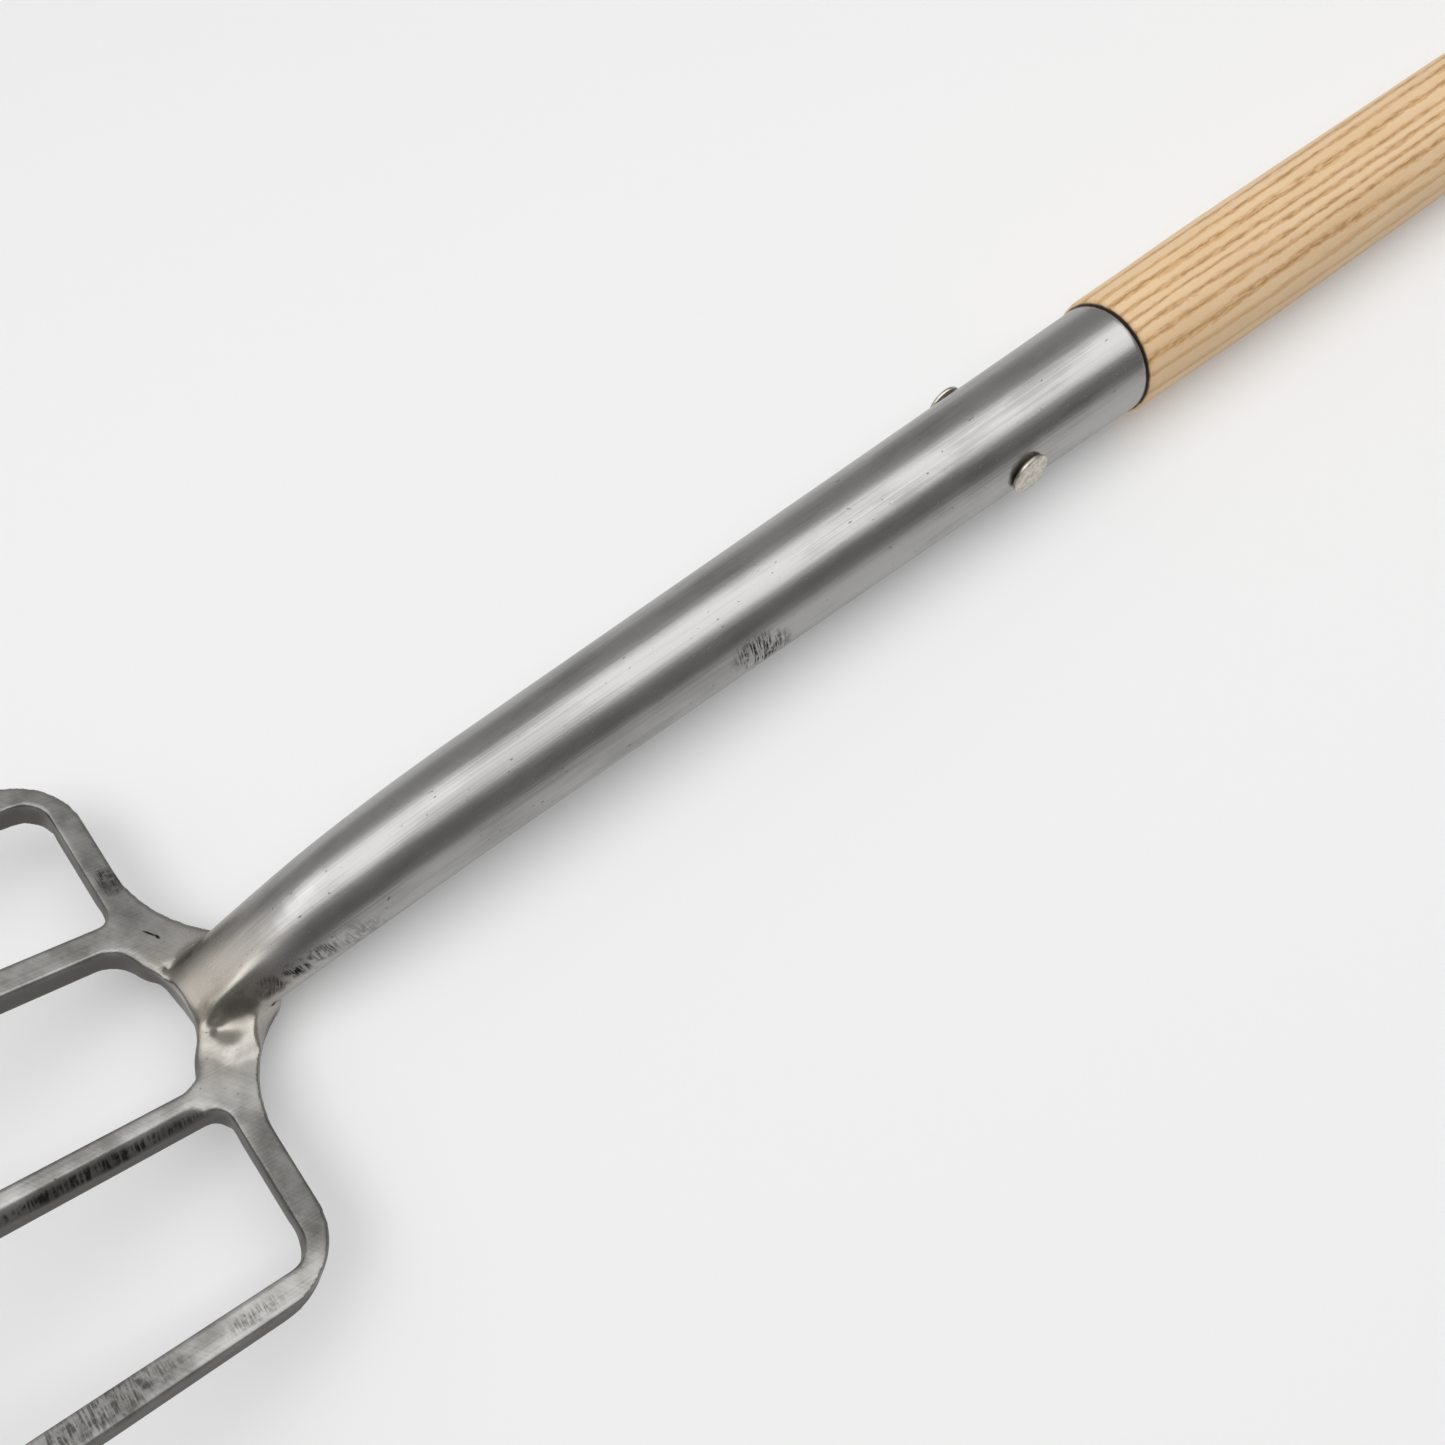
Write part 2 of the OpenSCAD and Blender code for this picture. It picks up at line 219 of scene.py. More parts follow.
def cut(piece: Object, cutter: Object) -> None:
    """Takes the cutter's shape out of a piece and throws the cutter away."""
    modify(piece, "BOOLEAN", operation="DIFFERENCE", object=cutter, solver="EXACT")
    bpy.data.objects.remove(cutter)


def merged(piece: Object, gap: float) -> None:
    """Merges points that lie close together and turns all faces outwards.

    Args:
        piece: The piece.
        gap: Points closer than this become one.
    """
    edit(piece)
    bpy.ops.mesh.remove_doubles(threshold=gap)
    outward()


def joined(name: str, *pieces: Object) -> Object:
    """Joins pieces into the first one.

    Args:
        name: Name of the joined piece.
        pieces: The pieces.

    Returns:
        The joined piece.
    """
    only(*pieces)
    bpy.ops.object.join()
    piece = bpy.context.object
    piece.name = piece.data.name = name
    return piece


def copy_of(node: str, bench: Bench) -> Object:
    """Copies a CAD node's mesh onto a bench.

    Args:
        node: Name of the CAD node.
        bench: Where the copy is worked on.

    Returns:
        The copy, with its triangles merged.
    """
    piece = bpy.data.objects.new(f"{node}_blank", frame["nodes"][node].data.copy())
    bpy.context.collection.objects.link(piece)
    piece.data.materials.clear()
    bench.take(piece)
    merged(piece, gap=0.01)
    return piece


def trimmed(piece: Object, x: float, away: float) -> None:
    """Cuts off what lies beyond a plane across the bench and leaves the cut open.

    Args:
        piece: The piece to cut.
        x: Where the plane lies.
        away: The side that is cut off, 1 for larger x and -1 for smaller.
    """
    edit(piece)
    bpy.ops.mesh.bisect(
        plane_co=(x, 0, 0), plane_no=(away, 0, 0), use_fill=False, clear_outer=True, threshold=SAME
    )
    bpy.ops.object.mode_set(mode="OBJECT")


def smooth(piece: Object, angle: float = 180.0) -> None:
    """Shades a piece smooth, apart from edges sharper than the angle in degrees."""
    only(piece)
    bpy.ops.object.shade_smooth_by_angle(angle=radians(angle))


@dataclass(frozen=True)
class Station:
    """One ring of a round piece: its place on the axis, its radius and the dip of the axis in radians."""

    x: float
    r: float
    z: float = 0.0
    dip: float = 0.0

    @property
    def middle(self) -> Vector:
        """The ring's middle."""
        return Vector((self.x, 0, self.z))


def turned(name: str, stations: Sequence[Station], turns: int, closed: bool = True) -> Object:
    """Draws a round piece ring by ring, from a disc that is extruded, scaled and turned.

    Args:
        name: Name of the piece.
        stations: The rings, in order.
        turns: Points round each ring.
        closed: Whether both ends are closed; otherwise the last ring is bridged to the first.

    Returns:
        The piece, on its bench.
    """
    first = stations[0]
    extrude = bpy.ops.mesh.extrude_region_move if closed else bpy.ops.mesh.extrude_edges_move
    put_down()
    bpy.ops.mesh.primitive_circle_add(
        vertices=turns, radius=first.r, fill_type="NGON" if closed else "NOTHING",
        location=first.middle, rotation=(0, pi / 2 - first.dip, 0),
    )
    piece = bpy.context.object
    piece.name = piece.data.name = name
    bpy.ops.object.transform_apply()
    bpy.ops.object.mode_set(mode="EDIT")
    bpy.ops.mesh.select_all(action="SELECT")
    for before, after in zip(stations, stations[1:]):
        step = after.middle - before.middle
        extrude(TRANSFORM_OT_translate={"value": step})
        scale = after.r / before.r
        bpy.ops.transform.resize(value=(scale, scale, scale), center_override=after.middle)
        dip = after.dip - before.dip
        if dip:
            bpy.ops.transform.rotate(value=dip, orient_axis="Y", center_override=after.middle)
    if not closed:
        bpy.ops.mesh.select_all(action="SELECT")
        bpy.ops.mesh.remove_doubles(threshold=SAME)
    outward()
    return piece


# Finishes

PLUS = {"operation": "ADD"}
LESS = {"operation": "SUBTRACT"}
TIMES = {"operation": "MULTIPLY"}
OVER = {"operation": "DIVIDE"}
MOST = {"operation": "MAXIMUM"}
SOFT = {"interpolation_type": "SMOOTHSTEP"}
TINT = {"data_type": "RGBA"}


def rgb(code: str) -> tuple[float, float, float, float]:
    """Turns an sRGB hex value into a linear colour.

    Args:
        code: The colour as #RRGGBB.

    Returns:
        Red, green, blue and alpha.
    """
    parts = [int(code[i : i + 2], 16) / 255 for i in (1, 3, 5)]
    lin = [c / 12.92 if c <= 0.04045 else ((c + 0.055) / 1.055) ** 2.4 for c in parts]
    return (*lin, 1.0)


def add(tree: NodeTree, kind: str, settings: dict | None = None, *values: object, **named: object) -> Node:
    """Adds a node with its settings and links.

    Args:
        tree: The node tree.
        kind: Blender's name for the node, without the ShaderNode in front.
        settings: The node's own properties.
        values: Numbers, colours, nodes or sockets for its open inputs, in order.
        named: The same by the input's name, with _ for a space.

    Returns:
        The node.
    """
    node = tree.nodes.new(f"ShaderNode{kind}")
    for key, value in (settings or {}).items():
        setattr(node, key, value)
    pairs = list(zip((socket for socket in node.inputs if socket.enabled), values))
    pairs += [(node.inputs[key.replace("_", " ")], value) for key, value in named.items()]
    for socket, value in pairs:
        if isinstance(value, Node):
            value = next(out for out in value.outputs if out.enabled)
        if isinstance(value, NodeSocket):
            tree.links.new(value, socket)
        else:
            socket.default_value = value
    return node


def fresh(name: str) -> tuple[Material, NodeTree]:
    """Makes an empty material.

    Args:
        name: What the material is called.

    Returns:
        The material and its node tree.
    """
    material = bpy.data.materials.new(name)
    material.use_nodes = True
    material.node_tree.nodes.clear()
    return material, material.node_tree


def on_bench(tree: NodeTree, bench: Bench) -> Node:
    """Object coordinates on a bench, in millimetres.

    Args:
        tree: The node tree.
        bench: The bench.

    Returns:
        The Mapping node that holds them.
    """
    place = add(tree, "TexCoord").outputs["Object"]
    origin, turn, scale = bench.to_row.translation, (0, bench.turn, 0), (MM, MM, MM)
    return add(tree, "Mapping", {"vector_type": "TEXTURE"}, place, origin, turn, scale)


def streaks(tree: NodeTree, place: Node | NodeSocket, size: Triple, detail: float = 2.0) -> Node:
    """Noise that is drawn out along the axes of a bench.

    Args:
        tree: The node tree.
        place: Coordinates in millimetres.
        size: Size of the marks along X, Y and Z, in millimetres.
        detail: Octaves of finer marks.

    Returns:
        The noise, from 0 to 1.
    """
    drawn = add(tree, "VectorMath", OVER, place, size)
    return add(tree, "TexNoise", None, Vector=drawn, Scale=1.0, Detail=detail, Roughness=0.55)


@dataclass(frozen=True)
class Mark:
    """A marked place on the steel, on the tines' bench: scale, pits or a flaw, or painted shade in a
    hollow or crease.

    Args:
        middle: Its middle.
        reach: Its half sizes.
        strength: How dark its strokes are.
        ground: How dark it is between the strokes.
        turn: Its turn in the plane of the tines.
    """

    middle: Triple
    reach: Triple
    strength: float = 1.0
    ground: float = 0.0
    turn: float = 0.0

    def spot(self, tree: NodeTree, place: Node, core: float = 0.35) -> Node:
        """A soft patch: 1 at its middle and 0 outside its reach.

        Args:
            tree: The node tree.
            place: Coordinates in millimetres.
            core: Share of the reach that stays full.

        Returns:
            The patch's share.
        """
        even = add(
            tree, "Mapping", {"vector_type": "TEXTURE"}, place, self.middle, (0, 0, self.turn), self.reach
        )
        far = add(tree, "VectorMath", {"operation": "LENGTH"}, even)
        return add(tree, "MapRange", SOFT, far, core, 1.0, 1.0, 0.0)


@dataclass(frozen=True)
class GroundSteel:
    """Forged carbon steel, ground and burnished by hand and left bare.

    The socket is burnished bright, with fine lines along it. The tines are only ground, so they
    are darker, and their sides keep the grey of the forge. Black scale stays in the hollows in short
    strokes, and painted shade darkens the hollow at the weld and the crease at the neck's foot. The
    heat of the weld leaves a straw tint at the crown. The lines are read
    from an attribute that gives each point its place along and round the bent socket.
    """

    bright: str = "#A6A5A3"
    dull: str = "#908F8D"
    tine: str = "#A6A5A2"
    tine_dull: str = "#74736F"
    straw: str = "#BCB1A2"
    raw: str = "#666461"
    # Black of the scale, also used for the painted shade in the hollow at the weld and the crease.
    scale: str = "#24221F"
    gloss: float = 0.24
    tine_gloss: float = 0.31
    raw_gloss: float = 0.48
    brushed: float = 0.72
    # Sizes of the marks along X, Y and Z. The real lines are about 0.1 mm apart; they are drawn
    # wider, so that they show.
    line_mm: Triple = (70.0, 0.5, 0.5)
    smear_mm: Triple = (70.0, 3.0, 3.0)
    cloud_mm: Triple = (45.0, 13.0, 13.0)
    smudge_mm: Triple = (11.0, 11.0, 11.0)
    scratch_mm: Triple = (16.0, 0.5, 0.5)
    scratch_turn: float = radians(52)
    stroke_mm: Triple = (0.65, 7.0, 7.0)
    pit_mm: Triple = (2.2, 2.2, 2.2)
    speck_mm: Triple = (2.2, 1.1, 1.1)
    dent_mm: Triple = (26.0, 9.0, 9.0)
    # How much clouds, smears and lines dull the socket, and lines, scratches and smudges the tines.
    wear: Triple = (0.28, 0.42, 0.42)
    tine_wear: Triple = (0.2, 0.15, 0.65)
    unevenness: float = 1.5
    # Where the tines' finish turns into the socket's.
    tube_mm: Pair = (-2.0, 26.0)
    relief_m: float = 0.0002
    crown: Mark = Mark((12.0, -4.0, 6.0), (44.0, 34.0, 26.0), 0.45)
    marks: tuple[Mark, ...] = (
        # The left arm: black strokes, and the grey round them.
        Mark((3.4, 44.0, 0.0), (4.6, 9.0, 5.0), 1.0, 0.48),
        Mark((5.0, 42.0, 0.0), (11.0, 34.0, 6.0), 0.34, 0.28),
        # The slit beside the neck.
        Mark((5.4, 23.5, 0.0), (3.2, 0.5, 2.0), 1.0, 0.95, radians(-54)),
        Mark((6.7, 21.6, 0.0), (1.4, 0.7, 2.0), 1.0, 0.95, radians(-75)),
        # Painted shade along the crease at the neck's foot, where the neck shades the plate.
        Mark((9.0, 10.5, 3.0), (7.0, 2.0, 6.0), 0.9, 0.5),
        # Scale strokes in the hollow at the weld, over painted shade that darkens the hollow, and the
        # black notch behind it.
        Mark((13.5, -11.2, 4.5), (7.0, 5.0, 6.0), 0.6, 0.42, radians(-20)),
        Mark((22.8, -13.6, 2.6), (1.3, 1.6, 1.3), 1.0, 1.0),
        # Strokes up the neck's right flank.
        Mark((20.5, -12.2, 12.0), (8.5, 4.2, 6.5), 1.0, 0.3),
        Mark((27.5, -12.9, 17.2), (8.0, 3.6, 5.0), 1.0, 0.32),
        Mark((35.0, -13.9, 21.3), (8.5, 3.4, 4.5), 0.8, 0.12),
        Mark((42.0, -16.0, 25.0), (15.0, 5.0, 9.0), 0.35),
        # Pits halfway along the socket.
        Mark((172.0, -17.0, 92.0), (15.0, 6.0, 9.0), 0.95),
        # The right side: the hammered bevel, the arm and the outer tine.
        Mark((-34.0, -30.4, -2.0), (46.0, 3.0, 3.0), 1.0, 0.62),
        Mark((3.0, -60.0, 0.0), (10.0, 30.0, 6.0), 0.5, 0.4),
        Mark((-56.0, -82.0, 0.0), (26.0, 6.0, 4.0), 0.75, 0.36),
        Mark((-20.0, -83.0, 0.0), (10.0, 3.0, 3.0), 0.4),
    )

    def material(self) -> Material:
        """Builds the finish.

        Returns:
            The material.
        """
        material, tree = fresh("ground_carbon_steel")
        node = partial(add, tree)
        along, flat = on_bench(tree, HANDLE), on_bench(tree, TINES)
        rolled = node("Attribute", {"attribute_name": Trace.ROLLED.value}).outputs["Vector"]
        ahead = node("SeparateXYZ", None, flat).outputs["X"]
        tube = node("MapRange", SOFT, ahead, *self.tube_mm)
        ground = node("Attribute", {"attribute_name": Trace.GROUND.value}).outputs["Fac"]

        lines = streaks(tree, flat, self.line_mm)
        lines = node("Mix", None, tube, lines, streaks(tree, rolled, self.line_mm))
        smears = streaks(tree, rolled, self.smear_mm, 3.0)
        clouds = node("MapRange", SOFT, streaks(tree, along, self.cloud_mm, 4.0), 0.36, 0.68)
        worn = 0.0
        for pattern, share in zip((clouds, smears, lines), self.wear):
            worn = node("Math", PLUS, worn, node("Math", TIMES, pattern, share))
        worn = node("MapRange", SOFT, worn, 0.42, 0.78)
        socket = node("Mix", TINT, worn, rgb(self.bright), rgb(self.dull))
        askew = node("Mapping", None, flat, (0, 0, 0), (0, 0, self.scratch_turn))
        scratches = streaks(tree, askew, self.scratch_mm, 3.0)
        smudges = streaks(tree, flat, self.smudge_mm, 5.0)
        worn = 0.0
        for pattern, share in zip((lines, scratches, smudges), self.tine_wear):
            worn = node("Math", PLUS, worn, node("Math", TIMES, pattern, share))
        worn = node("MapRange", SOFT, worn, 0.36, 0.66)
        tines = node("Mix", TINT, worn, rgb(self.tine), rgb(self.tine_dull))
        body = node("Mix", TINT, tube, tines, socket)
        heat = node("Math", TIMES, self.crown.spot(tree, flat, core=0.1), self.crown.strength)
        body = node("Mix", TINT, heat, body, rgb(self.straw))
        body = node("Mix", TINT, ground, rgb(self.raw), body)

        across = node("Mix", {"data_type": "VECTOR"}, tube, flat, rolled)
        strokes = node("MapRange", SOFT, streaks(tree, across, self.stroke_mm, 3.0), 0.42, 0.56)
        ragged = node("MapRange", SOFT, streaks(tree, flat, self.pit_mm, 4.0), 0.36, 0.56, 0.1, 1.0)
        scratched = node("Math", TIMES, strokes, ragged)
        # Specks of scale, then the marks, of which those in the hollow at the weld and the crease at the
        # neck's foot are painted shade.
        scale = node("MapRange", SOFT, streaks(tree, along, self.speck_mm, 1.0), 0.73, 0.8, 0.0, 0.5)
        for mark in self.marks:
            rough = node("MapRange", None, scratched, 0.0, 1.0, mark.ground, mark.strength)
            here = node("Math", TIMES, mark.spot(tree, flat), rough)
            scale = node("Math", MOST, scale, here)
        body = node("Mix", TINT, scale, body, rgb(self.scale))

        smooth_part = node("MapRange", None, tube, 0.0, 1.0, self.tine_gloss, self.gloss)
        gloss = node("Math", PLUS, smooth_part, node("MapRange", None, lines, 0.3, 0.7, -0.02, 0.03))
        gloss = node("Mix", None, ground, self.raw_gloss, gloss)
        gloss = node("Mix", None, scale, gloss, 0.6)
        dents = streaks(tree, along, self.dent_mm, 1.0)
        relief = node("Math", LESS, lines, node("Math", TIMES, scale, 3.0))
        relief = node("Math", PLUS, relief, node("Math", TIMES, dents, self.unevenness))
        bump = node("Bump", None, Strength=0.1, Distance=self.relief_m, Height=relief)
        # The lines spread the gloss round the socket, so the tangent runs across them.
        facing = node("NewGeometry").outputs["Normal"]
        around = node("VectorMath", {"operation": "CROSS_PRODUCT"}, facing, (1.0, 0.0, 0.0))
        shader = node(
            "BsdfPrincipled", None, Base_Color=body, Metallic=1.0, Roughness=gloss,
            Anisotropic=self.brushed, Tangent=around, Normal=bump,
        )
        node("OutputMaterial", None, shader)
        return material


@dataclass(frozen=True)
class RivetSteel:
    """Drawn mild steel wire, hammered into low heads: a little warmer and duller than the head."""

    bright: str = "#CFC9BF"
    dull: str = "#B0A99E"
    gloss: float = 0.34
    dent_mm: Triple = (1.8, 1.8, 1.8)

    def material(self) -> Material:
        """Builds the finish.

        Returns:
            The material.
        """
        material, tree = fresh("hammered_mild_steel")
        node = partial(add, tree)
        dents = streaks(tree, on_bench(tree, HANDLE), self.dent_mm, 3.0)
        high = node("MapRange", SOFT, dents, 0.35, 0.65)
        body = node("Mix", TINT, high, rgb(self.dull), rgb(self.bright))
        bump = node("Bump", None, Strength=0.25, Distance=0.0002, Height=dents)
        shader = node(
            "BsdfPrincipled", None, Base_Color=body, Metallic=1.0, Roughness=self.gloss, Normal=bump
        )
        node("OutputMaterial", None, shader)
        return material


@dataclass(frozen=True)
class Ash:
    """Planed ash, oiled: pale honey with open-pored growth lines along the grain.

    Each year starts with a band of open pores, which oil turns brown. The pores are short dashes
    along the grain, so the lines are ragged and fade in and out. In bent wood the lines follow the
    bend, so they are read from an attribute that gives each point its place in the straight stave.
    """

    name: str = "oiled_ash"
    pale: str = "#E2C49B"
    warm: str = "#D0A878"
    pore: str = "#996C38"
    joint: str = "#1E140C"
    ring_mm: float = 4.3
    across: Triple = (0.0, 0.94, 0.34)
    sap_mm: Pair = (-17.0, -10.0)
    grain: int = 0
    straightened: str = ""
    gloss: float = 0.55
    joint_mm: Pair = (0.7, 1.15)
    # Length and width of the years' wanderings, and how far they go in years.
    sways: tuple[Triple, ...] = (
        (200.0, 18.0, 1.6), (400.0, 7.0, 0.9), (14.0, 2.2, 0.4), (3.0, 0.9, 0.26)
    )
    # Length and width of the marks. Pores are about 0.3 mm wide and are drawn wider, so that they show.
    cloud_mm: Pair = (60.0, 9.0)
    dash_mm: Pair = (5.0, 0.8)
    fade_mm: Pair = (45.0, 4.0)
    fleck_mm: Pair = (9.0, 0.6)
    pore_m: float = 0.0003

    def drawn(self, run: float, wide: float) -> Triple:
        """Size of a mark that is drawn out along the grain.

        Args:
            run: Its length along the grain.
            wide: Its width.

        Returns:
            Its size along X, Y and Z.
        """
        size = [wide, wide, wide]
        size[self.grain] = run
        return tuple(size)

    def material(self) -> Material:
        """Builds the finish.

        Returns:
            The material.
        """
        material, tree = fresh(self.name)
        node = partial(add, tree)
        place = on_bench(tree, HANDLE)
        if self.straightened:
            place = node("Attribute", {"attribute_name": self.straightened}).outputs["Vector"]
        depth = node("VectorMath", {"operation": "DOT_PRODUCT"}, place, self.across)
        year = node("Math", OVER, depth, self.ring_mm)
        for run, wide, share in self.sways:
            sway = streaks(tree, place, self.drawn(run, wide), 1.0)
            year = node("Math", PLUS, year, node("Math", TIMES, sway, share))
        season = node("Math", {"operation": "FRACT"}, year)

        early = node("MapRange", SOFT, season, 0.1, 0.55, 1.0, 0.0)
        late = node("MapRange", SOFT, season, 0.9, 1.0)
        body = node("Mix", TINT, node("Math", MOST, early, late), rgb(self.pale), rgb(self.warm))
        clouds = streaks(tree, place, self.drawn(*self.cloud_mm), 3.0)
        clouds = node("MapRange", SOFT, clouds, 0.35, 0.7, 0.0, 0.35)
        body = node("Mix", TINT, clouds, body, rgb(self.warm))

        dashes = streaks(tree, place, self.drawn(*self.dash_mm), 2.0)
        dashes = node("MapRange", SOFT, dashes, 0.34, 0.6)
        fade = streaks(tree, place, self.drawn(*self.fade_mm), 2.0)
        fade = node("MapRange", SOFT, fade, 0.3, 0.55, 0.35, 1.0)
        fade = node("Math", TIMES, fade, node("MapRange", SOFT, depth, *self.sap_mm, 0.12, 1.0))
        band = node("MapRange", SOFT, season, 0.1, 0.5, 1.0, 0.0)
        edge = node("MapRange", SOFT, season, 0.0, 0.12)
        pores = node("Math", TIMES, node("Math", TIMES, band, edge), node("Math", TIMES, dashes, fade))
        body = node("Mix", TINT, node("Math", TIMES, pores, 0.78), body, rgb(self.pore))
        flecks = streaks(tree, place, self.drawn(*self.fleck_mm), 2.0)
        flecks = node("MapRange", SOFT, flecks, 0.56, 0.76, 0.0, 0.3)
        body = node("Mix", TINT, flecks, body, rgb(self.warm))
        ahead = node("SeparateXYZ", None, place).outputs["X"]
        joint = node("MapRange", SOFT, ahead, *self.joint_mm, 1.0, 0.0)
        body = node("Mix", TINT, joint, body, rgb(self.joint))
        bump = node("Bump", {"invert": True}, Strength=0.3, Distance=self.pore_m, Height=pores)
        shader = node("BsdfPrincipled", None, Base_Color=body, Roughness=self.gloss, Normal=bump)
        node("OutputMaterial", None, shader)
        return material


@dataclass(frozen=True)
class Paper:
    """Matt white background paper, backlit a little so that its shadows stay pale."""

    colour: str = "#EEEEEE"
    backlit: float = 0.22
    glow: float = 0.84

    def material(self) -> Material:
        """Builds the finish.

        Returns:
            The material.
        """
        material, tree = fresh("matt_white_paper")
        node = partial(add, tree)
        ray = node("LightPath").outputs
        seen = node("Math", MOST, ray["Is Glossy Ray"], ray["Is Transmission Ray"])
        seen = node("Math", MOST, ray["Is Camera Ray"], seen)
        matt = node("BsdfPrincipled", None, Base_Color=rgb(self.colour), Roughness=0.9)
        glow = node("Emission", None, Color=(1, 1, 1, 1), Strength=self.glow)
        shader = node("MixShader", None, node("Math", TIMES, seen, self.backlit), matt, glow)
        node("OutputMaterial", None, shader)
        return material


# Sub-assemblies


class Part:
    """A piece of the fork that stands for one or more CAD nodes."""

    nodes: tuple[str, ...]
    slot: Slot

    def dress(self, piece: Object, finish: Material) -> None:
        """Gives the piece its finish and its place in the frame.

        Args:
            piece: The built piece.
            finish: Its material.
        """
        piece.data.materials.append(finish)
        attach(piece, "root")
        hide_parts(*self.nodes)


@dataclass(frozen=True)
class Rub:
    """A place on the crown that is rubbed smooth: its middle, its reach and the strokes."""

    middle: Triple
    reach: float
    strokes: int


@dataclass(frozen=True)
class Push:
    """A line on the crown that is hammered in or raised: its points, its reach and how far it moves."""

    line: tuple[Triple, ...]
    reach: float
    move: Triple

    def share(self, point: Vector) -> float:
        """How far a point follows the move, which grows on the line's first stretch and fades on its last.

        Args:
            point: The point, on the tines' bench.

        Returns:
            Its share, from 0 outside the reach to 1 on the line.
        """
        stops = [Vector(stop) for stop in self.line]
        nearest, rise = self.reach, 0.0
        for start, end in zip(stops, stops[1:]):
            foot, along = intersect_point_line(point, start, end)
            foot = start if along < 0 else end if along > 1 else foot
            away = (point - foot).length
            if away < nearest:
                grown = eased(along) if start == stops[0] else 1.0
                nearest, rise = away, grown * (eased(1 - along) if end == stops[-1] else 1.0)
        return rise * (1 - (nearest / self.reach) ** 2) ** 2


@dataclass
class WeldedHead(Part):
    """The socket and the four tines, forged and welded into one head. Sizes in millimetres."""

    nodes: tuple[str, ...] = (
        "socket", "left_outer_tine", "left_inner_tine", "right_inner_tine", "right_outer_tine"
    )
    slot: Slot = Slot.GROUND_STEEL
    mouth_r: float = 20.0
    # Rings of the lip: places along the socket, and how far inside the mouth's radius they lie.
    lip: tuple[Pair, ...] = ((-0.12, 0.12), (0.0, 0.5), (0.0, 2.2), (-0.3, 2.5))
    lip_run: Pair = (-2.0, -0.5)
    bore_seen: float = 40.0
    neck_r: float = 16.5
    crown_r: float = 13.0
    cone_len: float = 250.0
    wall: float = 2.5
    neck_len: float = 112.0
    neck_bend: float = radians(12)
    neck_taper: float = 1.6
    pressed: float = 0.46
    press_start: float = 0.45
    arch_x: float = 3.7
    arch_r: float = 28.0
    arch_deep: float = 40.0
    arch_lean: float = radians(12)
    # How far the neck's blank runs into the cone, and the strip that bridges crown and socket.
    lap: float = 4.0
    seam: float = 6.0
    turns: int = 160
    cone_rings: int = 40
    neck_rings: int = 24
    heel_rings: int = 8
    heel_turn: float = 88.0
    voxel: float = 0.75
    soften: int = 7
    # Past here, outside the photograph, the tines are filed rounder and drawn with fewer faces.
    keep_fine: float = -78.0
    fade: float = 25.0
    filed: int = 16
    faces: int = 170000
    # What is ground bright: faces that look up, what stands above the tines, and the neck past its edge.
    ground_up: Pair = (0.3, 0.7)
    ground_z: Pair = (-1.5, -0.5)
    ground_x: float = -6.0
    neck_side: Pair = (11.0, 16.0)
    neck_edge: Pair = (5.7, 26.7)
    neck_fade: float = 5.0
    feather: int = 6
    bevel_from: Pair = (-28.3, 0.0)
    bevel_to: Pair = (-32.0, -3.8)
    bevel_run: Pair = (-74.0, -7.0)
    bead_middle: Triple = (11.0, -16.0, -2.5)
    bead_reach: Triple = (9.5, 5.2, 4.6)
    bead_turn: float = radians(47)
    sharp: float = 50.0
    rubs: tuple[Rub, ...] = (
        # The weld on the right of the neck.
        Rub((13.0, -12.5, 2.0), 11.0, 130),
        Rub((6.0, -11.0, 0.0), 8.0, 60),
        Rub((20.0, -13.0, 3.0), 7.0, 50),
        # The corners between the arch and the inner tines, above and below.
        *(Rub((-1.0, y, -4.0), 9.0, 60) for y in (15.5, -15.5)),
        *(Rub((0.0, y, -12.0), 9.0, 80) for y in (12.0, -12.0)),
        # The end of the bevel and the corners of the outer gaps.
        Rub((-7.0, -30.5, -2.0), 6.0, 40),
        *(Rub((-1.2, y, -8.0), 6.0, 40) for y in (36.2, 71.7, -36.2, -71.7)),
    )
    hollow: Push = Push(
        ((26.0, -10.5, 16.0), (13.5, -11.5, 4.5), (9.0, -12.8, 1.2), (5.0, -15.0, 0.4)),
        6.0, (0.3, 0.6, -1.4),
    )
    ridge: Push = Push(
        ((24.0, -5.7, 21.0), (8.5, -7.2, 4.8), (4.6, -10.6, 0.6), (0.0, -16.5, -0.3)),
        3.8, (-0.4, -0.2, 1.1),
    )
    bulge: Push = Push(
        ((13.0, -11.5, 2.0), (15.5, -16.0, 0.8), (14.0, -19.5, 0.0), (12.0, -25.0, 0.0)),
        4.2, (0.2, -0.2, 1.0),
    )
    last_rub: Rub = Rub((9.0, -12.5, 1.0), 12.0, 10)

    @property
    def swing(self) -> float:
        """Radius of the arc that the neck's axis follows."""
        return self.neck_len / self.neck_bend

    def axis(self, t: float) -> Station:
        """A ring of the bent neck.

        Args:
            t: Its place, from 0 at the cone to 1 at the crown.

        Returns:
            The ring, on the handle's bench.
        """
        dip = self.neck_bend * t
        radius = self.neck_r - (self.neck_r - self.crown_r) * t**self.neck_taper
        return Station(-self.cone_len - self.swing * sin(dip), radius, -self.swing * (1 - cos(dip)), dip)

    def cone(self, x: float) -> float:
        """Outside radius of the cone at a place x."""
        return self.mouth_r + (self.neck_r - self.mouth_r) * -x / self.cone_len

    def press(self, piece: Object) -> None:
        """Presses the upper half of the neck flat towards the crown, as the forge does.

        Args:
            piece: The neck, on the handle's bench.
        """
        hub = Vector((-self.cone_len, 0, -self.swing))
        for point in piece.data.vertices:
            arm = point.co - hub
            dip = atan2(-arm.x, arm.z)
            reach = sqrt(arm.x**2 + arm.z**2)
            height = reach - self.swing
            if height > 0 and dip > 0:
                u = ramp(dip / self.neck_bend, self.press_start, 1.0)
                reach = self.swing + height * (1 - self.pressed * u * u * (3 - 2 * u))
                point.co = hub + Vector((-reach * sin(dip), arm.y, reach * cos(dip)))

